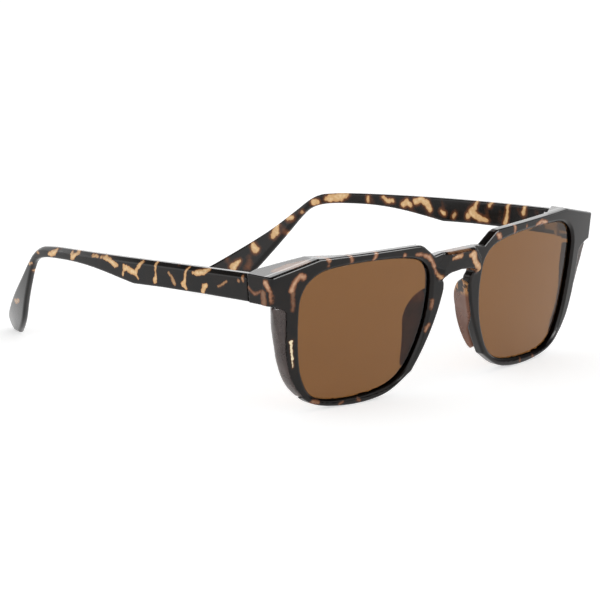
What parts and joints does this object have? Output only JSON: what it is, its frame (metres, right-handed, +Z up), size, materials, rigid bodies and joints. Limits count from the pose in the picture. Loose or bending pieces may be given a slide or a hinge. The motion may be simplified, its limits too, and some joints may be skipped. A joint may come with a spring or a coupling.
{
  "type": "glacier glasses",
  "caption": "Tortoiseshell glacier glasses with brown lenses, a keyhole bridge, side shields behind the rims, nose pads and temples that fold on screwed hinges.",
  "frame": {"origin": "middle of the bottom of the bounding box: the glasses stand on the rims and the temple tips, as on a table", "axes": "+X towards the wearer's left across the front, +Y from the front back towards the ears, +Z up"},
  "size_m": [0.145, 0.163, 0.0475],
  "materials": {
    "tortoiseshell": "polished dark acetate with honey patches",
    "lens": "brown tint, polished",
    "shield": "smoky translucent plastic",
    "nose_pad": "brown translucent acetate",
    "steel": "satin hinge steel"
  },
  "bodies": {
    "front": {"front_frame": "tortoiseshell", "left_lens": "lens", "left_side_shield": "shield", "left_nose_pad": "nose_pad", "left_front_hinge_leaf": "steel", "left_hinge_screw": "steel", "right_lens": "lens", "right_side_shield": "shield", "right_nose_pad": "nose_pad", "right_front_hinge_leaf": "steel", "right_hinge_screw": "steel"},
    "left_temple": {"left_temple": "tortoiseshell", "left_temple_hinge_leaf": "steel"},
    "right_temple": {"right_temple": "tortoiseshell", "right_temple_hinge_leaf": "steel"}
  },
  "joints": [
    {"name": "left_temple_fold", "type": "hinge", "parent": "front", "child": "left_temple", "pos_m": [0.0672, -0.06071, 0.0393], "axis": [0, 0, 1], "range_deg": [0, 82]},
    {"name": "right_temple_fold", "type": "hinge", "parent": "front", "child": "right_temple", "pos_m": [-0.0672, -0.06071, 0.0393], "axis": [0, 0, -1], "range_deg": [0, 72]}
  ]
}
